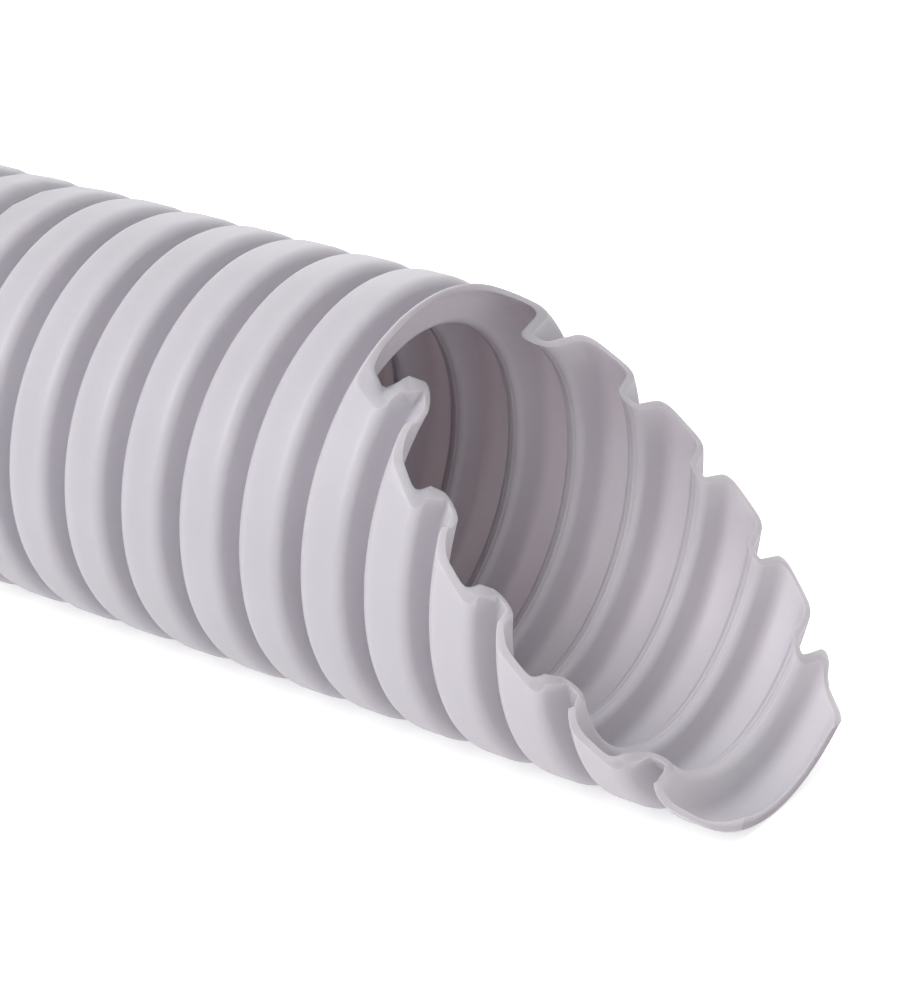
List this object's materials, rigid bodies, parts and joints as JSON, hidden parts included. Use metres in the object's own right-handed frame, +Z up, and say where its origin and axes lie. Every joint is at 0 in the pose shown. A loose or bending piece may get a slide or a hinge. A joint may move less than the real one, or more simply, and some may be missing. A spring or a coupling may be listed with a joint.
{
  "type": "corrugated conduit",
  "caption": "Flexible electrical conduit with parallel ring corrugations and a clear bore for cables, cut square at the far end and slanted by knife at the near end.",
  "frame": {"origin": "on the floor plane under the tube's axis, halfway along the tube", "axes": "+X along the tube towards the slanted cut, +Z up with the tube lying on its crests, the long tip of the cut at the bottom"},
  "size_m": [0.9984, 0.05, 0.05],
  "materials": {
    "conduit": "satin light grey polyvinyl chloride"
  },
  "bodies": {
    "root": {"conduit": "conduit"}
  },
  "joints": []
}
